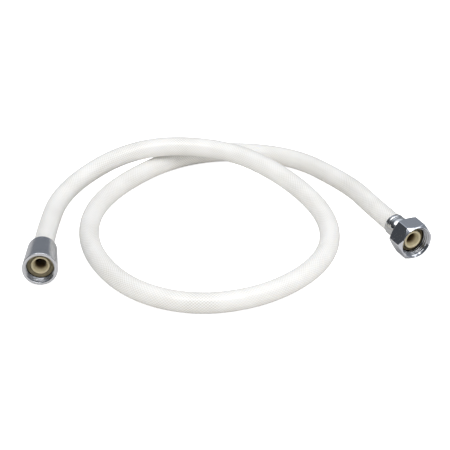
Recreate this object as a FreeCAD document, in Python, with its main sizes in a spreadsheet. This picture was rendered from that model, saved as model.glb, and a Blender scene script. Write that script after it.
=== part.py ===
import FreeCAD, Part
import math
import os
import Sketcher
from FreeCAD import Placement, Rotation, Vector

# A flexible water supply hose, 14 mm across and about 1 m long, lying in one open loop that
# crosses over itself.  Each end carries a G 1/2 swivel nut: a smooth cone nut at -X and a
# hexagon nut at +X.  Inside each nut a moulded tail seals against the mating thread through
# a flat washer, and a crimped ferrule holds the hose on the tail's barbs.
#
# Frame: +Z up, the floor at Z = 0, the origin on the floor at the middle of the fittings'
# box.  Both nut mouths look toward -Y.  Each fitting is drawn along its own axis: its local
# origin is the middle of the nut's mouth and its local +Z runs back into the hose, so every
# depth below is measured from the mouth.

# ---------------------------------------------------------------- driving dimensions (mm)

HOSE = {
    "hose_diameter": 14.0,
    "jacket_bore": 12.4,
    "braid_diameter": 12.2,
    "braid_bore": 11.4,
    "liner_diameter": 11.2,
    "liner_bore": 9.0,
}

# G 1/2 pipe thread, cut as a tapering groove that leaves a flat on every crest.
THREAD = {
    "thread_minor": 18.631,
    "thread_major": 20.955,
    "thread_pitch": 1.814,
    "groove_mouth": 1.3,
    "groove_floor": 0.24,
    "thread_lead": 1.3,
    "relief_diameter": 21.1,
}

CONE_NUT = {
    "cone_mouth_diameter": 24.0,
    "cone_neck_diameter": 20.2,
    "cone_neck_depth": 29.0,
    "cone_length": 30.0,
    "cone_back_diameter": 17.0,
    "cone_shoulder_radius": 2.6,
    "cone_rim_radius": 0.5,
    "cone_chamfer_diameter": 20.3,
    "cone_chamfer_depth": 0.8,
    "cone_thread_end": 4.6,
    "cone_relief_end": 12.8,
    "cone_cavity_diameter": 17.0,
    "cone_cavity_end": 26.5,
    "cone_back_hole": 15.6,
}

HEX_NUT = {
    "hex_across_flats": 24.0,
    "hex_length": 14.5,
    "hex_face_diameter": 22.6,
    "hex_back_diameter": 23.0,
    "hex_bevel_diameter": 28.6,
    "hex_bevel": 3.7,
    "hex_back_bevel": 12.9,
    "hex_chamfer_diameter": 22.0,
    "hex_chamfer_depth": 1.6,
    "hex_thread_end": 5.4,
    "hex_relief_end": 11.1,
    "hex_back_hole": 12.4,
}

# The tails: a sealing lip, a flange, a neck and a barbed shank around one water way.
TAIL = {
    "flange_diameter": 18.0,
    "neck_diameter": 11.2,
    "shank_diameter": 8.9,
    "barb_diameter": 9.6,
    "water_way": 6.8,
    "funnel_diameter": 10.4,
    "cone_lip_diameter": 12.8,
    "cone_lip_front": 5.4,
    "cone_flange_front": 7.85,
    "cone_flange_back": 10.0,
    "cone_neck_end": 13.4,
    "cone_barb_start": 16.4,
    "cone_shank_end": 27.0,
    "hex_lip_diameter": 13.6,
    "hex_lip_front": 5.6,
    "hex_flange_front": 8.65,
    "hex_flange_back": 10.8,
    "hex_neck_end": 21.4,
    "hex_barb_start": 24.0,
    "hex_shank_end": 35.0,
    "barb_pitch": 2.8,
    "lip_radius": 0.6,
}

WASHER = {
    "washer_diameter": 18.0,
    "cone_washer_bore": 13.4,
    "cone_washer_front": 5.8,
    "cone_washer_back": 7.8,
    "hex_washer_bore": 14.2,
    "hex_washer_front": 6.6,
    "hex_washer_back": 8.6,
}

# The ferrules: a collar that closes on the tail's neck, then a sleeve over the hose's end.
FERRULE = {
    "ferrule_collar_bore": 11.4,
    "crimp_depth": 0.4,
    "crimp_width": 0.5,
    "cone_ferrule_diameter": 16.0,
    "cone_ferrule_front": 12.3,
    "cone_crimp_first": 16.2,
    "cone_crimp_second": 19.4,
    "cone_ferrule_back": 23.0,
    "hex_ferrule_diameter": 15.6,
    "hex_ferrule_front": 18.9,
    "hex_ferrule_front_diameter": 12.4,
    "hex_ferrule_shoulder": 21.4,
    "hex_crimp_first": 23.7,
    "hex_crimp_second": 25.9,
    "hex_ferrule_back": 28.8,
    "ferrule_edge_radius": 0.4,
}

DIMENSIONS = {}
for group in (HOSE, THREAD, CONE_NUT, HEX_NUT, TAIL, WASHER, FERRULE):
    DIMENSIONS.update(group)

# ---------------------------------------------------------------- where the fittings lie

# The cone nut lies on its own taper, so its mouth looks slightly up.  The hexagon nut lies
# on a flat, so its axis is level.  Headings are measured from -Y toward +X.
CONE_MOUTH_XY = (-126.0, -33.3)
CONE_HEADING = 3.0
HEX_MOUTH_XY = (127.4, 0.9)
HEX_HEADING = 26.5

CONE_TAPER = (CONE_NUT["cone_mouth_diameter"] - CONE_NUT["cone_neck_diameter"]) / 2
CONE_PITCH = math.degrees(math.atan2(CONE_TAPER, CONE_NUT["cone_neck_depth"]))
CONE_HEIGHT = CONE_NUT["cone_mouth_diameter"] / 2 * math.cos(math.radians(CONE_PITCH))
HEX_PITCH = 0.0
HEX_HEIGHT = HEX_NUT["hex_across_flats"] / 2

# How far the hose's first and last straight runs reach past the tails' necks.
CONE_RUN = 36.0
HEX_RUN = 34.0

# The hose's route between those runs: up from the cone nut, over the hump (two points at its
# top, one each side of the crossing), round the loop on the floor, under the hump and out to
# the hexagon nut.
HOSE_ROUTE = [
    (-122.0, 83.0, 10.0),
    (-70.0, 127.0, 22.5),
    (-3.0, 124.0, 22.5),
    (43.0, 82.0, 19.0),
    (71.0, 32.0, 13.0),
    (66.0, -16.0, 9.0),
    (28.0, -58.0, 8.0),
    (-24.0, -71.0, 7.0),
    (-72.0, -47.0, 7.0),
    (-102.0, 14.0, 7.0),
    (-93.0, 81.0, 7.0),
    (-34.0, 147.5, 7.0),
    (44.0, 142.0, 8.5),
    (88.0, 85.0, 11.8),
]
ARC_SHARE = 0.45


def mouth_axis(heading, pitch):
    """The direction that a nut's mouth looks in."""
    flat = math.cos(math.radians(pitch))
    turn = math.radians(heading)
    return Vector(math.sin(turn) * flat, -math.cos(turn) * flat, math.sin(math.radians(pitch)))


def fitting_placement(mouth, axis):
    """Local +Z runs back from the mouth along the hose, and local X stays level."""
    back = axis * -1
    level = Vector(0, 0, 1).cross(back)
    level.normalize()
    return Placement(mouth, Rotation(level, back.cross(level), back, "ZXY"))


def hose_points(cone_mouth, cone_axis, hex_mouth, hex_axis):
    """All the route's points, from the hose's cone end to its hexagon end."""
    cone_end = cone_mouth - cone_axis * TAIL["cone_neck_end"]
    hex_end = hex_mouth - hex_axis * TAIL["hex_neck_end"]
    points = [cone_end, cone_end - cone_axis * CONE_RUN]
    points += [Vector(*point) for point in HOSE_ROUTE]
    points += [hex_end - hex_axis * HEX_RUN, hex_end]
    return points


def hose_path(points):
    """Straight runs joined by tangent arcs: the wire, its length and the arcs' radii."""
    edges = []
    radii = []
    start = points[0]
    length = 0.0
    for before, corner, after in zip(points, points[1:], points[2:]):
        arriving = corner - before
        leaving = after - corner
        reach = ARC_SHARE * min(arriving.Length, leaving.Length)
        arriving.normalize()
        leaving.normalize()
        turn = arriving.getAngle(leaving)
        radius = reach / math.tan(turn / 2)
        inward = leaving - arriving
        inward.normalize()
        arc_start = corner - arriving * reach
        arc_end = corner + leaving * reach
        arc_middle = corner + inward * (radius / math.cos(turn / 2) - radius)
        edges.append(Part.LineSegment(start, arc_start).toShape())
        edges.append(Part.Arc(arc_start, arc_middle, arc_end).toShape())
        length += (arc_start - start).Length + radius * turn
        radii.append(radius)
        start = arc_end
    edges.append(Part.LineSegment(start, points[-1]).toShape())
    length += (points[-1] - start).Length
    return Part.Wire(edges), length, radii


# ---------------------------------------------------------------- building helpers

def make_sheet(doc):
    sheet = doc.addObject("Spreadsheet::Sheet", "Dims")
    for row, (alias, value) in enumerate(DIMENSIONS.items(), start=1):
        sheet.set("A%d" % row, alias)
        sheet.set("B%d" % row, repr(value))
        sheet.setAlias("B%d" % row, alias)
    doc.recompute()
    return sheet


def origin_plane(body, role):
    return next(item for item in body.Origin.OriginFeatures if item.Role == role)


def new_sketch(body, name, role="XZ_Plane"):
    sketch = body.newObject("Sketcher::SketchObject", name)
    sketch.AttachmentSupport = (origin_plane(body, role), [""])
    sketch.MapMode = "FlatFace"
    return sketch


def bind(sketch, kind, line, value, expression):
    """Fix one coordinate of a line's start point, and drive it from the sheet."""
    if abs(value) < 1e-9:
        axis = -2 if kind == "DistanceX" else -1
        sketch.addConstraint(Sketcher.Constraint("PointOnObject", line, 1, axis))
        return
    index = sketch.addConstraint(Sketcher.Constraint(kind, -1, 1, line, 1, value))
    sketch.setExpression("Constraints[%d]" % index, expression)


def closed_outline(sketch, corners):
    """A closed run of lines through (x, x expression, y, y expression) corners."""
    count = len(corners)
    for here, there in zip(corners, corners[1:] + corners[:1]):
        sketch.addGeometry(Part.LineSegment(Vector(here[0], here[2], 0),
                                            Vector(there[0], there[2], 0)), False)
    for line in range(count):
        sketch.addConstraint(Sketcher.Constraint("Coincident", line, 2, (line + 1) % count, 1))
    for line, (x, x_text, y, y_text) in enumerate(corners):
        bind(sketch, "DistanceX", line, x, x_text)
        bind(sketch, "DistanceY", line, y, y_text)


def corner(diameter, depth, extra_diameter=0.0, extra_depth=0.0):
    """One corner of a turned profile.  None stands for the axis, or for the mouth's plane.
    An extra is a fixed step from the named size, such as a groove's depth."""
    wide = DIMENSIONS[diameter] + extra_diameter if diameter else 0.0
    deep = DIMENSIONS[depth] + extra_depth if depth else 0.0
    wide_text = "(Dims.%s + %r) / 2" % (diameter, extra_diameter)
    deep_text = "Dims.%s + %r" % (depth, extra_depth)
    return wide / 2, wide_text, deep, deep_text


def new_body(doc, label):
    body = doc.addObject("PartDesign::Body", "Body_" + label)
    body.Label = label
    return body


def turn_solid(doc, body, name, corners):
    sketch = new_sketch(body, name + "Profile")
    closed_outline(sketch, corners)
    revolution = body.newObject("PartDesign::Revolution", name)
    revolution.Profile = sketch
    revolution.ReferenceAxis = (sketch, ["V_Axis"])
    revolution.Angle = 360
    doc.recompute()
    return revolution


def turn_away(doc, body, name, corners):
    """Cut a turned profile out of the body, and make sure that it did cut."""
    before = body.Shape.Volume
    sketch = new_sketch(body, name + "Profile")
    closed_outline(sketch, corners)
    groove = body.newObject("PartDesign::Groove", name)
    groove.Profile = sketch
    groove.ReferenceAxis = (sketch, ["V_Axis"])
    groove.Angle = 360
    doc.recompute()
    if body.Shape.Volume > before - 0.1:
        raise ValueError(name + " cut nothing")
    return groove


def ring_edges(feature, diameter, depth):
    """Names of the circular edges of one diameter at one depth."""
    names = []
    for index, edge in enumerate(feature.Shape.Edges, start=1):
        curve = edge.Curve
        if not isinstance(curve, Part.Circle):
            continue
        same_size = abs(curve.Radius - diameter / 2) < 1e-3
        if same_size and abs(curve.Center.z - depth) < 1e-3:
            names.append("Edge%d" % index)
    return names


def round_ring(doc, body, name, diameter, depth, radius_alias):
    feature = body.Tip
    fillet = body.newObject("PartDesign::Fillet", name)
    fillet.Base = (feature, ring_edges(feature, diameter, depth))
    fillet.Radius = DIMENSIONS[radius_alias]
    fillet.setExpression("Radius", "Dims." + radius_alias)
    doc.recompute()
    return fillet


def cut_thread(doc, body, name, end_alias):
    """Cut the helical groove from just ahead of the mouth into the relief behind it."""
    before = body.Shape.Volume
    crest = DIMENSIONS["thread_minor"] / 2 - 0.1
    root = DIMENSIONS["thread_major"] / 2
    centre = -DIMENSIONS["thread_lead"]
    mouth = DIMENSIONS["groove_mouth"] / 2
    floor = DIMENSIONS["groove_floor"] / 2
    crest_text = "Dims.thread_minor / 2 - 0.1"
    root_text = "Dims.thread_major / 2"
    text = "-Dims.thread_lead %s Dims.%s / 2"
    sketch = new_sketch(body, name + "Profile")
    closed_outline(sketch, [
        (crest, crest_text, centre - mouth, text % ("-", "groove_mouth")),
        (root, root_text, centre - floor, text % ("-", "groove_floor")),
        (root, root_text, centre + floor, text % ("+", "groove_floor")),
        (crest, crest_text, centre + mouth, text % ("+", "groove_mouth")),
    ])
    helix = body.newObject("PartDesign::SubtractiveHelix", name)
    helix.Profile = sketch
    helix.ReferenceAxis = (sketch, ["V_Axis"])
    helix.Mode = 0
    helix.setExpression("Pitch", "Dims.thread_pitch")
    helix.setExpression("Height", "Dims.thread_lead + Dims.%s + Dims.groove_mouth / 2 + 0.2"
                        % end_alias)
    helix.Angle = 0
    helix.LeftHanded = False
    helix.Reversed = False
    doc.recompute()
    if body.Shape.Volume > before - 1.0:
        raise ValueError(name + " cut nothing")
    return helix


# ---------------------------------------------------------------- the pieces

def bore_profile(nut, cavity=None, cavity_end=None):
    """The inside of a swivel nut: mouth chamfer, thread, relief, cavity and back hole."""
    thread_end, relief_end = nut + "_thread_end", nut + "_relief_end"
    back_hole, length = nut + "_back_hole", nut + "_length"
    profile = [
        corner(None, None),
        corner(nut + "_chamfer_diameter", None),
        corner("thread_minor", nut + "_chamfer_depth"),
        corner("thread_minor", thread_end),
        corner("relief_diameter", thread_end, extra_depth=0.9),
        corner("relief_diameter", relief_end),
    ]
    if cavity:
        profile += [corner(cavity, relief_end), corner(cavity, cavity_end),
                    corner(back_hole, cavity_end)]
    else:
        profile.append(corner(back_hole, relief_end))
    return profile + [corner(back_hole, length, extra_depth=0.5),
                      corner(None, length, extra_depth=0.5)]


def make_cone_nut(doc):
    body = new_body(doc, "cone_nut")
    turn_solid(doc, body, "ConeShell", [
        corner(None, None),
        corner("cone_mouth_diameter", None),
        corner("cone_neck_diameter", "cone_neck_depth"),
        corner("cone_back_diameter", "cone_length"),
        corner(None, "cone_length"),
    ])
    round_ring(doc, body, "ConeShoulder", CONE_NUT["cone_neck_diameter"],
               CONE_NUT["cone_neck_depth"], "cone_shoulder_radius")
    round_ring(doc, body, "ConeRim", CONE_NUT["cone_mouth_diameter"], 0.0, "cone_rim_radius")
    turn_away(doc, body, "ConeBore",
              bore_profile("cone", "cone_cavity_diameter", "cone_cavity_end"))
    cut_thread(doc, body, "ConeThread", "cone_thread_end")
    return body


def hexagon_corners():
    """Corners of the hexagon, with one flat facing up and one facing down."""
    reach = HEX_NUT["hex_across_flats"] / 2 / math.cos(math.radians(30))
    corners = []
    for step in range(6):
        angle = 60 * step
        text = "Dims.hex_across_flats / 2 / cos(30 deg) * %s(%d deg)"
        corners.append((reach * math.cos(math.radians(angle)), text % ("cos", angle),
                        reach * math.sin(math.radians(angle)), text % ("sin", angle)))
    return corners


def make_hex_nut(doc):
    body = new_body(doc, "hex_nut")
    sketch = new_sketch(body, "HexOutline", "XY_Plane")
    closed_outline(sketch, hexagon_corners())
    pad = body.newObject("PartDesign::Pad", "HexBlock")
    pad.Profile = sketch
    pad.setExpression("Length", "Dims.hex_length")
    doc.recompute()
    turn_away(doc, body, "FrontBevel", [
        corner("hex_face_diameter", None),
        corner("hex_bevel_diameter", None),
        corner("hex_bevel_diameter", "hex_bevel"),
    ])
    turn_away(doc, body, "BackBevel", [
        corner("hex_back_diameter", "hex_length"),
        corner("hex_bevel_diameter", "hex_back_bevel"),
        corner("hex_bevel_diameter", "hex_length"),
    ])
    turn_away(doc, body, "HexBore", bore_profile("hex"))
    cut_thread(doc, body, "HexThread", "hex_thread_end")
    return body


def barbs(first, count):
    """Saw-tooth barbs that ramp up away from the shank's tip and bite the liner."""
    profile = []
    for index in range(count):
        step = index * TAIL["barb_pitch"]
        profile += [
            corner("shank_diameter", first, extra_depth=step),
            corner("barb_diameter", first, extra_depth=step + 0.2),
            corner("shank_diameter", first, extra_depth=step + 1.8),
        ]
    return profile


def make_tail(doc, end, barb_count):
    """The moulded tail of one end, whose sizes start with the end's name."""
    body = new_body(doc, end + "_end_tail")
    turn_solid(doc, body, end.capitalize() + "Tail", [
        corner("funnel_diameter", end + "_lip_front"),
        corner(end + "_lip_diameter", end + "_lip_front"),
        corner(end + "_lip_diameter", end + "_flange_front"),
        corner("flange_diameter", end + "_flange_front"),
        corner("flange_diameter", end + "_flange_back"),
        corner("neck_diameter", end + "_flange_back"),
        corner("neck_diameter", end + "_neck_end"),
        corner("shank_diameter", end + "_neck_end"),
    ] + barbs(end + "_barb_start", barb_count) + [
        corner("shank_diameter", end + "_shank_end", extra_depth=-0.8),
        corner("shank_diameter", end + "_shank_end", extra_diameter=-1.0),
        corner("water_way", end + "_shank_end"),
        corner("water_way", end + "_lip_front", extra_depth=4.8),
    ])
    round_ring(doc, body, end.capitalize() + "LipRound", TAIL[end + "_lip_diameter"],
               TAIL[end + "_lip_front"], "lip_radius")
    return body


def make_washer(doc, end):
    body = new_body(doc, end + "_end_washer")
    turn_solid(doc, body, end.capitalize() + "Washer", [
        corner(end + "_washer_bore", end + "_washer_front"),
        corner("washer_diameter", end + "_washer_front"),
        corner("washer_diameter", end + "_washer_back"),
        corner(end + "_washer_bore", end + "_washer_back"),
    ])
    return body


def crimp(diameter, depth):
    """One crimp line pressed into a ferrule."""
    half = FERRULE["crimp_width"] / 2
    sunk = -FERRULE["crimp_depth"]
    return [
        corner(diameter, depth, extra_depth=-half - 0.3),
        corner(diameter, depth, extra_diameter=sunk, extra_depth=-half),
        corner(diameter, depth, extra_diameter=sunk, extra_depth=half),
        corner(diameter, depth, extra_depth=half + 0.3),
    ]


def make_ferrule(doc, end, front_profile):
    """A collar on the tail's neck and a sleeve over the hose, with two crimp lines."""
    body = new_body(doc, end + "_end_ferrule")
    size = end + "_ferrule_diameter"
    turn_solid(doc, body, end.capitalize() + "Ferrule", [
        corner("ferrule_collar_bore", end + "_ferrule_front"),
    ] + front_profile + crimp(size, end + "_crimp_first") + crimp(size, end + "_crimp_second") + [
        corner(size, end + "_ferrule_back"),
        corner("hose_diameter", end + "_ferrule_back"),
        corner("hose_diameter", end + "_neck_end"),
        corner("ferrule_collar_bore", end + "_neck_end"),
    ])
    round_ring(doc, body, end.capitalize() + "FerruleEdge", FERRULE[size],
               FERRULE[end + "_ferrule_back"], "ferrule_edge_radius")
    return body


def swept_rod(doc, route, points, name, diameter_alias):
    """A solid rod along the route, whose section is a circle at the hose's cone end."""
    circle = doc.addObject("Part::Circle", name + "Section")
    circle.setExpression("Radius", "Dims.%s / 2" % diameter_alias)
    circle.Placement = Placement(points[0], Rotation(Vector(0, 0, 1), points[1] - points[0]))
    sweep = doc.addObject("Part::Sweep", name)
    sweep.Sections = [circle]
    sweep.Spine = (route, [])
    sweep.Solid = True
    sweep.Frenet = False
    return sweep


def make_hose_layer(doc, route, points, label, outside, inside):
    name = label.title().replace("_", "")
    layer = doc.addObject("Part::Cut", name)
    layer.Base = swept_rod(doc, route, points, name + "Rod", outside)
    layer.Tool = swept_rod(doc, route, points, name + "Core", inside)
    layer.Label = label
    return layer


def check_length(layer, outside, inside, length):
    """The layer's volume must be its section times the route's length."""
    section = math.pi / 4 * (DIMENSIONS[outside] ** 2 - DIMENSIONS[inside] ** 2)
    share = layer.Shape.Volume / (section * length)
    print("%s: volume is %.4f of section times length" % (layer.Label, share))
    if abs(share - 1) > 0.01:
        raise ValueError(layer.Label + " doesn't follow its route")


def check_document(doc, pieces):
    for item in doc.Objects:
        if "Invalid" in item.State or "Error" in item.State:
            raise ValueError("%s failed: %s" % (item.Name, item.State))
    for piece in pieces:
        if piece.Shape.isNull() or not piece.Shape.isValid():
            raise ValueError(piece.Label + " has no valid shape")


def main():
    doc = FreeCAD.newDocument("supply_hose")
    make_sheet(doc)

    cone_axis = mouth_axis(CONE_HEADING, CONE_PITCH)
    hex_axis = mouth_axis(HEX_HEADING, HEX_PITCH)
    cone_mouth = Vector(CONE_MOUTH_XY[0], CONE_MOUTH_XY[1], CONE_HEIGHT)
    hex_mouth = Vector(HEX_MOUTH_XY[0], HEX_MOUTH_XY[1], HEX_HEIGHT)

    cone_front = [corner("cone_ferrule_diameter", "cone_ferrule_front")]
    hex_front = [corner("hex_ferrule_front_diameter", "hex_ferrule_front"),
                 corner("hex_ferrule_diameter", "hex_ferrule_shoulder")]
    cone_pieces = [make_cone_nut(doc), make_tail(doc, "cone", 3), make_washer(doc, "cone"),
                   make_ferrule(doc, "cone", cone_front)]
    hex_pieces = [make_hex_nut(doc), make_tail(doc, "hex", 3), make_washer(doc, "hex"),
                  make_ferrule(doc, "hex", hex_front)]
    for piece in cone_pieces:
        piece.Placement = fitting_placement(cone_mouth, cone_axis)
    for piece in hex_pieces:
        piece.Placement = fitting_placement(hex_mouth, hex_axis)

    points = hose_points(cone_mouth, cone_axis, hex_mouth, hex_axis)
    wire, length, radii = hose_path(points)
    route = doc.addObject("Part::Feature", "HoseRoute")
    route.Shape = wire
    layers = [
        ("hose_jacket", "hose_diameter", "jacket_bore"),
        ("hose_braid", "braid_diameter", "braid_bore"),
        ("hose_liner", "liner_diameter", "liner_bore"),
    ]
    hose = [make_hose_layer(doc, route, points, *layer) for layer in layers]
    doc.recompute()

    pieces = cone_pieces + hex_pieces + hose
    check_document(doc, pieces)
    print("hose length %.1f mm" % length)
    print("arc radii", [round(radius, 1) for radius in radii])
    for piece, (label, outside, inside) in zip(hose, layers):
        check_length(piece, outside, inside, length)

    os.makedirs("parts", exist_ok=True)
    for piece in pieces:
        piece.Shape.exportStep("parts/%s.step" % piece.Label)
        box = piece.Shape.BoundBox
        print("%-18s volume %9.1f  x %7.2f %7.2f  y %7.2f %7.2f  z %6.2f %6.2f" % (
            piece.Label, piece.Shape.Volume, box.XMin, box.XMax, box.YMin, box.YMax,
            box.ZMin, box.ZMax))


main()
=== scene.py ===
import math

import bpy
from mathutils import Matrix, Vector


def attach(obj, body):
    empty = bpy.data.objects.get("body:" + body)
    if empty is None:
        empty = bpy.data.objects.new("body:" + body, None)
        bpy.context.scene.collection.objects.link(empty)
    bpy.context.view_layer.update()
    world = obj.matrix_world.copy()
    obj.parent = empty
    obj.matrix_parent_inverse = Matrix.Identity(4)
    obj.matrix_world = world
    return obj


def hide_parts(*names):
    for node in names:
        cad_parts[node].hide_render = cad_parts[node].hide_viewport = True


# A braid-reinforced water hose lying in one open loop, with a cone nut and a hexagon nut at
# its ends.  Lengths are in metres.  Inside the fittings, sizes are in millimetres along each
# fitting's own axis: the depth runs back from the nut's mouth, and MM turns them into metres.

MM = 0.001
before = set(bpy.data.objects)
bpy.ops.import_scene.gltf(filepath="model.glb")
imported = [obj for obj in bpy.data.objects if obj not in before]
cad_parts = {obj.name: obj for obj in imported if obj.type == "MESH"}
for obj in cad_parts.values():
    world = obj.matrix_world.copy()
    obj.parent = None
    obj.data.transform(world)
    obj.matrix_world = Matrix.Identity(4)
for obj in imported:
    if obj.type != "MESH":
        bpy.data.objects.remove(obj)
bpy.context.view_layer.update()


# ---------------------------------------------------------------- where everything lies

def mouth_axis(heading, pitch):
    """The direction that a nut's mouth looks in; the heading turns from -Y toward +X."""
    turn, tilt = math.radians(heading), math.radians(pitch)
    return Vector((math.sin(turn) * math.cos(tilt), -math.cos(turn) * math.cos(tilt),
                   math.sin(tilt)))


def fitting_frame(mouth, axis):
    """Local +Z runs back from the mouth along the hose, and local X stays level."""
    back = -axis
    level = Vector((0, 0, 1)).cross(back).normalized()
    matrix = Matrix((level, back.cross(level), back)).transposed().to_4x4()
    matrix.translation = mouth
    return matrix


# NUT_RADIUS is the cone nut's radius at its mouth and half the hexagon nut's width across
# flats.  The cone nut's side tapers back to its neck and lies along the floor, so its mouth
# looks up by the taper; the hexagon nut lies level on a flat.
NUT_RADIUS = 12.0
CONE_LENGTH = 30.0
CONE_NECK_RADIUS = 10.1
CONE_NECK_DEPTH = 29.0
CONE_PITCH = math.degrees(math.atan2(NUT_RADIUS - CONE_NECK_RADIUS, CONE_NECK_DEPTH))
CONE_AXIS = mouth_axis(3.0, CONE_PITCH)
CONE_MOUTH_HEIGHT = 0.01197432  # NUT_RADIUS in metres, times the cosine of CONE_PITCH
CONE_MOUTH = Vector((-0.1260, -0.0333, CONE_MOUTH_HEIGHT))
HEX_AXIS = mouth_axis(26.5, 0.0)
HEX_MOUTH = Vector((0.1274, 0.0009, NUT_RADIUS * MM))
CONE_FRAME = fitting_frame(CONE_MOUTH, CONE_AXIS)
HEX_FRAME = fitting_frame(HEX_MOUTH, HEX_AXIS)

# How deep in each fitting the hose's cut end meets the tail.
CONE_HOSE_END = 13.4
HEX_HOSE_END = 21.4

# The hose's route: straight out of the cone nut, over the hump, round the loop on the floor,
# under the hump and straight into the hexagon nut's ferrule.
CONE_END = CONE_MOUTH - CONE_AXIS * (CONE_HOSE_END * MM)
HEX_END = HEX_MOUTH - HEX_AXIS * (HEX_HOSE_END * MM)
HOSE_ROUTE = [
    CONE_END,
    CONE_END - CONE_AXIS * 0.036,
    (-0.122, 0.083, 0.0100),
    (-0.070, 0.127, 0.0225),
    (-0.003, 0.124, 0.0225),
    (0.043, 0.082, 0.0190),
    (0.071, 0.032, 0.0130),
    (0.066, -0.016, 0.0090),
    (0.028, -0.058, 0.0080),
    (-0.024, -0.071, 0.0070),
    (-0.072, -0.047, 0.0070),
    (-0.102, 0.014, 0.0070),
    (-0.093, 0.081, 0.0070),
    (-0.034, 0.1475, 0.0070),
    (0.044, 0.142, 0.0085),
    (0.088, 0.085, 0.0118),
    HEX_END - HEX_AXIS * 0.034,
    HEX_END,
]
HOSE_RADIUS = 0.0070
HOSE_BORE = 0.0045


# ---------------------------------------------------------------- camera

def make_camera():
    data = bpy.data.cameras.new("camera")
    data.lens = 118.2
    data.sensor_width = 36.0
    camera = bpy.data.objects.new("camera", data)
    camera.location = (-0.0034, -0.866, 0.5266)
    camera.rotation_euler = (math.radians(60), 0, 0)
    bpy.context.scene.collection.objects.link(camera)
    bpy.context.scene.camera = camera


# ---------------------------------------------------------------- mesh helpers

def new_piece(name, vertices, faces, material, uv_rows=None):
    """A smooth-shaded mesh object; uv_rows holds one (u, v) list for each face."""
    mesh = bpy.data.meshes.new(name)
    mesh.from_pydata([tuple(v) for v in vertices], [], faces)
    for polygon in mesh.polygons:
        polygon.use_smooth = True
    if uv_rows:
        layer = mesh.uv_layers.new(name="along")
        for polygon, corners in zip(mesh.polygons, uv_rows):
            for loop, uv in zip(polygon.loop_indices, corners):
                layer.data[loop].uv = uv
    mesh.materials.append(material)
    piece = bpy.data.objects.new(name, mesh)
    bpy.context.scene.collection.objects.link(piece)
    return piece


def rounded_outline(corners, spacing):
    """A closed outline of (depth, radius, rounding) corners, as evenly spaced points."""
    bend_steps = 4
    stops = []
    count = len(corners)
    for index, (depth, radius, rounding) in enumerate(corners):
        here = Vector((depth, radius))
        before = Vector(corners[index - 1][:2]) - here
        after = Vector(corners[(index + 1) % count][:2]) - here
        if rounding <= 0:
            stops.append([here])
            continue
        reach = min(rounding, before.length * 0.45, after.length * 0.45)
        start = here + before.normalized() * reach
        end = here + after.normalized() * reach
        bend = []
        for step in range(bend_steps + 1):
            t = step / bend_steps
            bend.append(start * (1 - t) ** 2 + here * (2 * t * (1 - t)) + end * t ** 2)
        stops.append(bend)
    points = []
    for index, bend in enumerate(stops):
        points += bend
        target = stops[(index + 1) % count][0]
        gap = target - bend[-1]
        pieces = max(1, round(gap.length / spacing))
        points += [bend[-1] + gap * (step / pieces) for step in range(1, pieces)]
    return points


def turned(name, matrix, corners, material, angles, spacing=0.4, shape=None):
    """A ring-shaped solid turned from a closed outline; shape(angle, depth, radius) may
    change a point's radius, for flats and threads.  Its UV map holds (depth, radius)."""
    outline = rounded_outline(corners, spacing)
    vertices = []
    for depth, radius in outline:
        for angle in angles:
            reach = shape(angle, depth, radius) if shape else radius
            vertices.append(matrix @ Vector((math.cos(angle) * reach * MM,
                                             math.sin(angle) * reach * MM, depth * MM)))
    rows, columns = len(outline), len(angles)
    faces, uv_rows = [], []
    for row in range(rows):
        following = (row + 1) % rows
        here, there = tuple(outline[row]), tuple(outline[following])
        for column in range(columns):
            beside = (column + 1) % columns
            faces.append((row * columns + column, following * columns + column,
                          following * columns + beside, row * columns + beside))
            uv_rows.append((here, there, there, here))
    piece = new_piece(name, vertices, faces, material, uv_rows)
    piece.data.validate()
    return piece


def even_angles(count):
    """Angles for a round piece, evenly spaced."""
    return [2 * math.pi * step / count for step in range(count)]


def hexagon_angles():
    """Angles that crowd together at a hexagon's corners, where its edges are rounded."""
    steps = [0, 0.35, 0.7, 1.1, 1.6, 2.2, 3.0, 4.2, 6.0, 8.5, 12, 16, 20.5, 25]
    half = [math.radians(step) for step in steps]
    sector = half + [math.radians(30)] + [math.radians(60) - step for step in half[:0:-1]]
    return [math.radians(60) * turn + step for turn in range(6) for step in sector]


def soft_min(a, b, width):
    """The smaller of two sizes, blended where they are within a width of each other."""
    near = max(width - abs(a - b), 0.0) / width
    return min(a, b) - near * near * width / 4


# ---------------------------------------------------------------- materials

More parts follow.
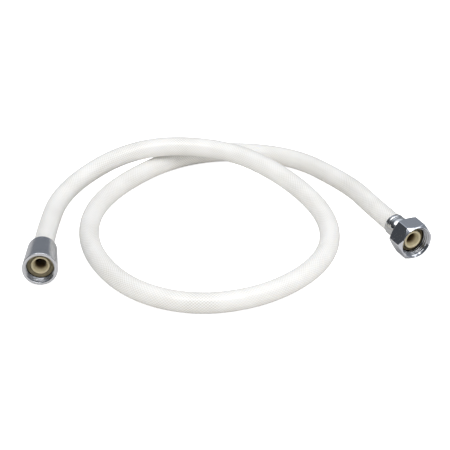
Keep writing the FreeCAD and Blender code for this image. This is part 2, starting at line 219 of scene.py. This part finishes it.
class Nodes:
    """A node tree, with short ways to add and link nodes."""

    def __init__(self, tree):
        self.tree = tree

    def add(self, kind, **settings):
        node = self.tree.nodes.new(kind)
        for key, value in settings.items():
            setattr(node, key, value)
        return node

    def join(self, source, target):
        self.tree.links.new(source, target)

    def feed(self, value, socket):
        """Set a socket to a number or a tuple, or link it to another node's output."""
        if isinstance(value, (int, float, tuple)):
            socket.default_value = value
        else:
            self.join(value, socket)

    def math(self, operation, a, b=0.0, c=0.0, clamp=False):
        """One Math node; c is read only by the operations that take three values."""
        node = self.add("ShaderNodeMath", operation=operation, use_clamp=clamp)
        for value, socket in zip((a, b, c), node.inputs):
            self.feed(value, socket)
        return node.outputs[0]

    def noise(self, vector, scale, detail=3.0, roughness=0.55):
        node = self.add("ShaderNodeTexNoise")
        node.inputs["Scale"].default_value = scale
        node.inputs["Detail"].default_value = detail
        node.inputs["Roughness"].default_value = roughness
        self.join(vector, node.inputs["Vector"])
        return node.outputs["Fac"]

    def spread(self, value, low, high, to_low, to_high, interpolation="LINEAR"):
        """Carry a value from the range low to high onto the range to_low to to_high."""
        node = self.add("ShaderNodeMapRange", interpolation_type=interpolation)
        for key, number in zip(("From Min", "From Max", "To Min", "To Max"),
                               (low, high, to_low, to_high)):
            node.inputs[key].default_value = number
        self.join(value, node.inputs["Value"])
        return node.outputs["Result"]

    def blend_colours(self, share, first, second):
        """The first colour where the share is 0, the second where it is 1."""
        node = self.add("ShaderNodeMix", data_type="RGBA")
        self.feed(share, node.inputs[0])
        self.feed((*first, 1.0) if isinstance(first, tuple) else first, node.inputs[6])
        self.feed((*second, 1.0) if isinstance(second, tuple) else second, node.inputs[7])
        return node.outputs[2]

    def bump(self, height, distance, strength=1.0, onto=None):
        node = self.add("ShaderNodeBump")
        node.inputs["Strength"].default_value = strength
        node.inputs["Distance"].default_value = distance
        self.join(height, node.inputs["Height"])
        if onto is not None:
            self.join(onto, node.inputs["Normal"])
        return node.outputs["Normal"]


class Material(Nodes):
    """A new material, whose Principled shader the other nodes feed."""

    def __init__(self, name):
        self.material = bpy.data.materials.new(name)
        self.material.use_nodes = True
        super().__init__(self.material.node_tree)
        self.shader = self.tree.nodes["Principled BSDF"]

    def set(self, **sockets):
        """Feed the shader's sockets, named in lower case with underlines."""
        for key, value in sockets.items():
            name = key.replace("_", " ").title().replace("Ior", "IOR")
            self.feed(value, self.shader.inputs[name])

    def place(self):
        return self.add("ShaderNodeTexCoord").outputs["Object"]

    def profile(self):
        """The UV map's two numbers: (depth, radius) on a turned piece, (u, v) on the hose."""
        split = self.add("ShaderNodeSeparateXYZ")
        self.join(self.add("ShaderNodeUVMap", uv_map="along").outputs["UV"], split.inputs[0])
        return split.outputs[0], split.outputs[1]


def hose_material():
    """White glossy vinyl over a fine diagonal braid, two sets of yarn that pass over and
    under each other.  u goes once round the hose, and v counts the same length along it."""
    nodes = Material("vinyl_over_braid")
    u, v = nodes.profile()
    yarns_each_way = 22.0
    turns_per_girth = 0.94
    half_swing = 0.42
    lean = nodes.math("MULTIPLY", v, turns_per_girth)
    first = nodes.math("MULTIPLY", nodes.math("ADD", u, lean), yarns_each_way)
    second = nodes.math("MULTIPLY", nodes.math("SUBTRACT", u, lean), yarns_each_way)
    cells = nodes.math("ADD", nodes.math("FLOOR", first), nodes.math("FLOOR", second))
    sign = nodes.math("SUBTRACT", 1.0, nodes.math(
        "MULTIPLY", nodes.math("FLOORED_MODULO", cells, 2.0), 2.0))
    arch_one = nodes.math("SINE", nodes.math("MULTIPLY", nodes.math("FRACT", first), math.pi))
    arch_two = nodes.math("SINE", nodes.math("MULTIPLY", nodes.math("FRACT", second), math.pi))
    over = nodes.math("MULTIPLY_ADD", nodes.math("MULTIPLY", sign, arch_two),
                      half_swing, 0.5)
    under = nodes.math("MULTIPLY_ADD", nodes.math("MULTIPLY", sign, arch_one),
                       -half_swing, 0.5)
    braid = nodes.math("MAXIMUM", nodes.math("MULTIPLY", arch_one, over),
                       nodes.math("MULTIPLY", arch_two, under))
    place = nodes.place()
    patches = nodes.noise(place, 34.0, 2.0)
    fine = nodes.noise(place, 900.0, 2.0)
    gaps = nodes.spread(braid, 0.15, 0.85, 1.0, 0.0)
    cloudy = nodes.spread(patches, 0.35, 0.62, 1.0, 0.45)
    colour = nodes.blend_colours(nodes.math("MULTIPLY", gaps, cloudy), (0.91, 0.905, 0.89),
                                 (0.66, 0.645, 0.60))
    tint = nodes.blend_colours(nodes.spread(patches, 0.35, 0.7, 0.0, 0.35), colour,
                               (0.88, 0.87, 0.85))
    skin = nodes.bump(braid, 0.00022, 0.6)
    skin = nodes.bump(fine, 0.00002, 0.3, skin)
    nodes.set(base_color=tint, normal=skin, specular_ior_level=0.5, coat_weight=0.6,
              coat_roughness=0.17, subsurface_weight=0.22, subsurface_scale=0.0025,
              roughness=nodes.spread(patches, 0.3, 0.7, 0.34, 0.46))
    nodes.shader.inputs["Subsurface Radius"].default_value = (1.0, 0.9, 0.75)
    return nodes.material


def plated_material(name, colour, smooth, rough, marked, rim=0.0, bore=0.0):
    """Plating with faint polishing marks, marked metres high, that vary its roughness between
    smooth and rough, and a few duller patches.  In a nut, a painted highlight can brighten the
    first millimetre behind the mouth (its rim, from 0 to 1), and painted shade can darken the
    thread (the bore, from 0 to 1)."""
    nodes = Material(name)
    place = nodes.place()
    stretch = nodes.add("ShaderNodeMapping")
    stretch.inputs["Scale"].default_value = (1.0, 0.12, 1.0)
    nodes.join(place, stretch.inputs["Vector"])
    marks = nodes.noise(stretch.outputs[0], 1400.0, 4.0, 0.7)
    patches = nodes.noise(place, 140.0, 3.0)
    spots = nodes.noise(place, 620.0, 2.0)
    dull = nodes.math("ADD", nodes.spread(marks, 0.3, 0.7, smooth, rough),
                      nodes.spread(patches, 0.55, 0.8, 0.0, 0.07), clamp=True)
    shade = nodes.blend_colours(nodes.spread(spots, 0.5, 0.85, 0.0, 0.25), colour,
                                tuple(part * 0.86 for part in colour))
    depth, radius = nodes.profile()
    # Painted highlight: the mouth's rim, 0.5 to 1.3 mm deep, is lightened toward pale grey.
    shade = nodes.blend_colours(nodes.spread(depth, 0.5, 1.3, rim, 0.0), shade,
                                (0.84, 0.84, 0.85))
    # Painted shade: the thread, inside a radius of 10.7 mm, is darkened toward dark grey.
    shade = nodes.blend_colours(nodes.spread(radius, 10.7, 11.0, bore, 0.0), shade,
                                (0.20, 0.20, 0.19))
    ripple = nodes.bump(marks, marked, 0.5)
    nodes.set(base_color=shade, metallic=1.0, roughness=dull, normal=ripple)
    return nodes.material


def nylon_material():
    """Cream moulded nylon, waxy and a little uneven in colour, with painted shade darkening the
    inside of the water way.
    """
    nodes = Material("cream_nylon")
    place = nodes.place()
    clouds = nodes.noise(place, 260.0, 4.0)
    grain = nodes.noise(place, 2600.0, 2.0)
    colour = nodes.blend_colours(nodes.spread(clouds, 0.35, 0.7, 0.0, 1.0),
                                 (0.61, 0.53, 0.34), (0.70, 0.625, 0.425))
    # Painted shade: inside the water way, below a radius of about 4.3 mm, the colour darkens to
    # near black-brown.
    water_way_shade = nodes.spread(nodes.profile()[1], 3.42, 4.3, 1.0, 0.0)
    colour_with_painted_shade = nodes.blend_colours(water_way_shade, colour, (0.13, 0.085, 0.04))
    nodes.set(base_color=colour_with_painted_shade, roughness=nodes.spread(clouds, 0.3, 0.7, 0.36, 0.5),
              normal=nodes.bump(grain, 0.00002, 0.4), subsurface_weight=0.12,
              subsurface_scale=0.0012)
    nodes.shader.inputs["Subsurface Radius"].default_value = (1.0, 0.8, 0.45)
    return nodes.material


def rubber_material(name, dark, light):
    """Dull rubber with a fine dusty grain."""
    nodes = Material(name)
    place = nodes.place()
    dust = nodes.noise(place, 420.0, 4.0)
    grain = nodes.noise(place, 3200.0, 2.0)
    colour = nodes.blend_colours(nodes.spread(dust, 0.35, 0.75, 0.0, 1.0),
                                 dark, light)
    nodes.set(base_color=colour, roughness=nodes.spread(grain, 0.3, 0.7, 0.68, 0.85),
              normal=nodes.bump(grain, 0.00003, 0.5))
    return nodes.material


# ---------------------------------------------------------------- the hose

BORE_DEPTH_RINGS = 12
BORE_TIP_RADIUS = 0.0002


def spline_points(name, route):
    """Points read from a smooth spline whose control points are the route's."""
    data = bpy.data.curves.new(name, "CURVE")
    data.dimensions = "3D"
    data.resolution_u = 64
    spline = data.splines.new("NURBS")
    spline.points.add(len(route) - 1)
    for point, place in zip(spline.points, route):
        point.co = (*place, 1.0)
    spline.order_u = 3
    spline.use_endpoint_u = True
    line = bpy.data.objects.new(name, data)
    bpy.context.scene.collection.objects.link(line)
    mesh = bpy.data.meshes.new_from_object(line)
    points = [vertex.co.copy() for vertex in mesh.vertices]
    bpy.data.objects.remove(line)
    return points


def hose_rings(points):
    """Each ring's centre, its two directions and its radius, and how many of the hose's
    girths lie between it and the start.  The directions turn with the line and don't twist."""
    girth = 2 * math.pi * HOSE_RADIUS
    up = Vector((0, 0, 1))
    run = 0.0
    rings, marks = [], []
    for index, point in enumerate(points):
        ahead = (points[min(index + 1, len(points) - 1)] - points[max(index - 1, 0)]).normalized()
        up = (up - ahead * up.dot(ahead)).normalized()
        if index:
            run += (point - points[index - 1]).length
        rings.append((point, up, ahead.cross(up), HOSE_RADIUS))
        marks.append(run / girth)
    return rings, marks


def sunk_bore(edge, bottom):
    """Rings that turn in over a cut edge to the bore and close it a little way back."""
    return [(*edge[:3], HOSE_BORE), (*bottom[:3], HOSE_BORE), (*bottom[:3], BORE_TIP_RADIUS)]


def make_hose(material):
    points = spline_points("hose_line", HOSE_ROUTE)
    columns = 44
    rings, marks = hose_rings(points)
    head = sunk_bore(rings[0], rings[BORE_DEPTH_RINGS])[::-1]
    tail = sunk_bore(rings[-1], rings[-1 - BORE_DEPTH_RINGS])
    rings = head + rings + tail
    marks = [marks[0]] * len(head) + marks + [marks[-1]] * len(tail)
    vertices = []
    for centre, up, across, radius in rings:
        for column in range(columns):
            angle = 2 * math.pi * column / columns
            vertices.append(centre + (up * math.cos(angle) + across * math.sin(angle)) * radius)
    faces, uv_rows = [], []
    for row in range(len(rings) - 1):
        for column in range(columns):
            beside = (column + 1) % columns
            faces.append((row * columns + column, row * columns + beside,
                          (row + 1) * columns + beside, (row + 1) * columns + column))
            left, right = column / columns, (column + 1) / columns
            uv_rows.append(((left, marks[row]), (right, marks[row]),
                            (right, marks[row + 1]), (left, marks[row + 1])))
    last = (len(rings) - 1) * columns
    faces.append(tuple(range(columns))[::-1])
    faces.append(tuple(last + column for column in range(columns)))
    uv_rows += [[(0.0, marks[0])] * columns, [(0.0, marks[-1])] * columns]
    hose = new_piece("hose", vertices, faces, material, uv_rows)
    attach(hose, "hose")
    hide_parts("hose_jacket", "hose_braid", "hose_liner")


# ---------------------------------------------------------------- the fittings

# The nuts' G 1/2 pipe thread.  In the hexagon nut the crests are drawn at HEX_CREST, further
# out than the CAD's, and the groove has only HEX_GROOVE_SHARE of the full depth.
THREAD_CREST = 9.3155
THREAD_DEPTH = 1.16
THREAD_PITCH = 1.814
THREAD_LEAD = 1.3
GROOVE_HALF_MOUTH = 0.72
GROOVE_HALF_FLOOR = 0.16
THREAD_FADE = 0.3
HEX_CREST = 9.55
HEX_GROOVE_SHARE = 0.85

# Radii that both nuts, both tails or both ferrules share.
RELIEF_RADIUS = 10.55
FLANGE_RADIUS = 9.0
NECK_RADIUS = 5.6
SHANK_RADIUS = 4.45
BARB_RADIUS = 4.8
WATER_WAY_RADIUS = 3.4
COLLAR_BORE_RADIUS = 5.7
SLEEVE_BORE_RADIUS = 7.0


def thread(angle, depth, end):
    """How far the right-handed groove is cut outward at this point of the bore."""
    turns = (depth + THREAD_LEAD) / THREAD_PITCH - angle / (2 * math.pi)
    off_centre = abs(turns - round(turns)) * THREAD_PITCH
    slope = GROOVE_HALF_MOUTH - GROOVE_HALF_FLOOR
    cut = max(0.0, min(1.0, (GROOVE_HALF_MOUTH - off_centre) / slope))
    fade = max(0.0, min(1.0, (end - depth) / THREAD_FADE))
    return THREAD_DEPTH * cut * fade


def make_cone_nut(material):
    thread_end = 5.3
    cavity = 8.5
    back_hole = 7.9
    thread_reach = 10.2

    def shape(angle, depth, radius):
        """The thread, cut into the part of the bore that is narrower than thread_reach."""
        if radius < thread_reach and depth < thread_end:
            return max(radius, THREAD_CREST + thread(angle, depth, thread_end))
        return radius

    corners = [
        (0.0, NUT_RADIUS, 0.5), (CONE_NECK_DEPTH, CONE_NECK_RADIUS, 2.4),
        (CONE_LENGTH, 8.6, 0.35), (CONE_LENGTH, back_hole, 0.3), (26.5, back_hole, 0.2),
        (26.5, cavity, 0.2), (12.8, cavity, 0.2), (12.8, RELIEF_RADIUS, 0.2),
        (6.2, RELIEF_RADIUS, 0.3), (thread_end, THREAD_CREST, 0.1), (0.8, THREAD_CREST, 0.1),
        (0.0, 10.15, 0.2),
    ]
    nut = turned("cone_nut_shell", CONE_FRAME, corners, material, even_angles(144), 0.16, shape)
    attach(nut, "cone_nut")
    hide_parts("cone_nut")


def make_hex_nut(material):
    length = 14.5
    face = 11.5
    tip = 14.3
    back_hole = 6.2
    thread_end = 5.9
    thread_reach = 10.3
    front_slope, back_slope = 0.95, 1.75
    blunt_corner = NUT_RADIUS / math.cos(math.radians(30)) - 0.14

    def shape(angle, depth, radius):
        """The thread and the flats; everything else inside the face's edge stays round."""
        if radius < thread_reach and depth < thread_end:
            return max(radius, HEX_CREST + thread(angle, depth, thread_end) * HEX_GROOVE_SHARE)
        if radius < face - 0.1:
            return radius
        from_flat = abs(angle % math.radians(60) - math.radians(30))
        side = soft_min(NUT_RADIUS / math.cos(from_flat), blunt_corner, 0.12)
        front = face + depth * front_slope
        back = face + (length - depth) * back_slope
        return min(radius, soft_min(soft_min(side, front, 0.2), back, 0.2))

    corners = [
        (0.0, face, 0.0), (3.2, tip, 0.0), (13.0, tip, 0.0), (length, 11.45, 0.0),
        (length, back_hole, 0.2), (11.1, back_hole, 0.2), (11.1, RELIEF_RADIUS, 0.2),
        (6.8, RELIEF_RADIUS, 0.3), (thread_end, HEX_CREST, 0.1), (1.7, HEX_CREST, 0.1),
        (0.6, 10.6, 0.1), (0.0, 11.35, 0.1),
    ]
    nut = turned("hex_nut_shell", HEX_FRAME, corners, material, hexagon_angles(), 0.13, shape)
    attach(nut, "hex_nut")
    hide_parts("hex_nut")


def barbs(first):
    """The outline of three saw-tooth barbs on the shank."""
    outline = []
    for step in (0.0, 2.8, 5.6):
        outline += [(first + step, SHANK_RADIUS, 0.05),
                    (first + step + 0.2, BARB_RADIUS, 0.08),
                    (first + step + 1.8, SHANK_RADIUS, 0.05)]
    return outline


def make_tail(name, node, matrix, material, lip_radius, lip, flange, neck_end, barb_start,
              shank_end):
    """A moulded tail: its lip and funnel, its flange, its neck and its barbed shank."""
    flange_back = flange + 2.15
    corners = [
        (lip, 5.15, 0.55), (lip, lip_radius, 0.6), (flange, lip_radius, 0.1),
        (flange, FLANGE_RADIUS, 0.3), (flange_back, FLANGE_RADIUS, 0.3),
        (flange_back, NECK_RADIUS, 0.2), (neck_end, NECK_RADIUS, 0.2),
        (neck_end, SHANK_RADIUS, 0.1),
    ] + barbs(barb_start) + [
        (shank_end - 0.8, SHANK_RADIUS, 0.1), (shank_end, SHANK_RADIUS - 0.5, 0.2),
        (shank_end, WATER_WAY_RADIUS, 0.1), (lip + 4.6, WATER_WAY_RADIUS, 1.0),
    ]
    tail = turned(name, matrix, corners, material, even_angles(72), 0.35)
    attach(tail, "hose")
    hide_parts(node)


def make_washer(name, node, body, matrix, material, bore, front):
    """A flat rubber ring round a tail's lip, as wide as the tail's flange."""
    back = front + 2.0
    corners = [(front, bore, 0.25), (front, FLANGE_RADIUS, 0.3), (back, FLANGE_RADIUS, 0.3),
               (back, bore, 0.25)]
    washer = turned(name, matrix, corners, material, even_angles(72), 0.4)
    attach(washer, body)
    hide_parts(node)


def crimp(radius, depth, sunk):
    """One pressed line round a ferrule, with soft shoulders."""
    return [(depth - 0.65, radius, 0.25), (depth - 0.2, radius - sunk, 0.16),
            (depth + 0.2, radius - sunk, 0.16), (depth + 0.65, radius, 0.25)]


def make_cone_ferrule(material):
    """The crimped sleeve that the cone nut hides."""
    front, back, radius = 12.3, 23.0, 8.0
    corners = [(front, COLLAR_BORE_RADIUS, 0.1), (front, radius, 0.5)]
    corners += crimp(radius, 16.2, 0.4) + crimp(radius, 19.4, 0.4)
    corners += [(back, radius, 0.4), (back, SLEEVE_BORE_RADIUS, 0.2),
                (CONE_HOSE_END, SLEEVE_BORE_RADIUS, 0.1),
                (CONE_HOSE_END, COLLAR_BORE_RADIUS, 0.1)]
    ferrule = turned("cone_end_sleeve", CONE_FRAME, corners, material, even_angles(96), 0.3)
    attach(ferrule, "hose")
    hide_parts("cone_end_ferrule")


def make_hex_ferrule(material):
    """The crimped sleeve behind the hexagon nut, rounded in to the tail's neck."""
    front, back, radius = 18.9, 28.8, 7.8
    corners = [(front, COLLAR_BORE_RADIUS, 0.1), (front, 6.2, 0.3), (21.6, radius, 1.8)]
    corners += crimp(radius, 23.7, 0.1) + crimp(radius, 25.9, 0.4)
    corners += [(back, radius, 0.4), (back, SLEEVE_BORE_RADIUS, 0.2),
                (HEX_HOSE_END, SLEEVE_BORE_RADIUS, 0.1),
                (HEX_HOSE_END, COLLAR_BORE_RADIUS, 0.1)]
    ferrule = turned("hex_end_sleeve", HEX_FRAME, corners, material, even_angles(96), 0.2)
    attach(ferrule, "hose")
    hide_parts("hex_end_ferrule")


# ---------------------------------------------------------------- floor and light

def make_floor():
    """A pale floor that glows a little, so that it stays white, and that bounces less light
    onto the hose and into the plating."""
    nodes = Material("pale_floor")
    speckle = nodes.noise(nodes.place(), 3.0, 2.0)
    path = nodes.add("ShaderNodeLightPath")
    seen = path.outputs["Is Camera Ray"]
    bounced = nodes.blend_colours(path.outputs["Is Diffuse Ray"], (0.56, 0.56, 0.57),
                                  (0.80, 0.785, 0.75))
    pale = nodes.blend_colours(speckle, (0.90, 0.90, 0.90), (0.92, 0.92, 0.92))
    nodes.set(base_color=nodes.blend_colours(seen, bounced, pale), roughness=0.9,
              specular_ior_level=0.1, emission_color=(1.0, 1.0, 1.0, 1.0),
              emission_strength=nodes.math("MULTIPLY", seen, 0.8))
    size = 4.0
    floor = new_piece("floor", [(-size, -size, 0), (size, -size, 0), (size, size, 0),
                                (-size, size, 0)], [(0, 1, 2, 3)], nodes.material)


def make_light(name, place, aim, size, power):
    data = bpy.data.lights.new(name, "AREA")
    data.shape = "RECTANGLE"
    data.size, data.size_y = size
    data.energy = power
    light = bpy.data.objects.new(name, data)
    light.location = place
    light.rotation_euler = (Vector(aim) - Vector(place)).to_track_quat("-Z", "Y").to_euler()
    bpy.context.scene.collection.objects.link(light)


def make_world():
    """A soft even room for diffuse light, and a dimmer one that the plating reflects: darker
    to the left and in front, lighter above.  The camera sees it plain and pale."""
    world = bpy.data.worlds.new("studio")
    bpy.context.scene.world = world
    world.use_nodes = True
    nodes = Nodes(world.node_tree)
    generated = nodes.add("ShaderNodeTexCoord").outputs["Generated"]
    split = nodes.add("ShaderNodeSeparateXYZ")
    nodes.join(generated, split.inputs[0])
    rightward, backward, upward = split.outputs
    above = nodes.spread(upward, 0.45, 0.95, 0.27, 0.9, "SMOOTHSTEP")
    left = nodes.spread(rightward, -0.9, -0.3, 0.25, 1.0, "SMOOTHSTEP")
    front = nodes.spread(backward, -0.9, -0.2, 0.35, 1.0, "SMOOTHSTEP")
    level = nodes.math("MULTIPLY", nodes.math("MULTIPLY", above, left), front)
    tinted = nodes.add("ShaderNodeVectorMath", operation="SCALE")
    tinted.inputs[0].default_value = (0.93, 1.0, 1.12)
    nodes.join(level, tinted.inputs["Scale"])
    path = nodes.add("ShaderNodeLightPath")
    room = nodes.blend_colours(path.outputs["Is Diffuse Ray"], tinted.outputs[0],
                               (0.80, 0.80, 0.80))
    seen = nodes.blend_colours(path.outputs["Is Camera Ray"], room, (0.93, 0.93, 0.93))
    background = world.node_tree.nodes["Background"]
    nodes.join(seen, background.inputs["Color"])
    background.inputs["Strength"].default_value = 1.0


def make_lights():
    make_light("softbox_top", (0.0, -0.55, 1.25), (0.0, 0.05, 0.0), (1.3, 0.7), 7.4)
    make_light("softbox_right", (1.2, -0.25, 1.2), (0.1, 0.0, 0.0), (0.8, 0.8), 2.0)


# ---------------------------------------------------------------- everything together

make_camera()
make_hose(hose_material())
# The cone nut's plating carries a painted highlight on its mouth's rim.
satin = plated_material("satin_plating", (0.60, 0.61, 0.63), smooth=0.17, rough=0.27,
                        marked=0.000006, rim=0.9)
# The hexagon nut's plating carries painted shade in its thread.
bright = plated_material("bright_plating", (0.82, 0.83, 0.86), smooth=0.05, rough=0.11,
                         marked=0.000002, bore=0.3)
soft = plated_material("sleeve_plating", (0.68, 0.68, 0.67), smooth=0.10, rough=0.17,
                       marked=0.000002)
nylon = nylon_material()
olive = rubber_material("olive_rubber", dark=(0.19, 0.16, 0.095), light=(0.29, 0.25, 0.16))
# Painted shade: a darker copy of the olive rubber, standing in for the shade round the hexagon
# end's lip.
shaded_olive = rubber_material("olive_rubber_painted_shade", dark=(0.10, 0.075, 0.035), light=(0.17, 0.135, 0.07))
make_cone_nut(satin)
make_hex_nut(bright)
make_cone_ferrule(soft)
make_hex_ferrule(soft)
make_tail("cone_end_spigot", "cone_end_tail", CONE_FRAME, nylon, lip_radius=6.4, lip=5.4,
          flange=7.85, neck_end=CONE_HOSE_END, barb_start=16.4, shank_end=27.0)
make_tail("hex_end_spigot", "hex_end_tail", HEX_FRAME, nylon, lip_radius=6.6, lip=4.8,
          flange=8.65, neck_end=HEX_HOSE_END, barb_start=24.0, shank_end=35.0)
make_washer("cone_end_gasket", "cone_end_washer", "cone_washer", CONE_FRAME, olive,
            bore=6.7, front=5.8)
# The hexagon end's washer wears the darker copy of the olive rubber, as painted shade.
make_washer("hex_end_gasket", "hex_end_washer", "hex_washer", HEX_FRAME, shaded_olive,
            bore=7.1, front=6.6)
make_floor()
make_world()
make_lights()
bpy.context.scene.view_settings.view_transform = "Standard"
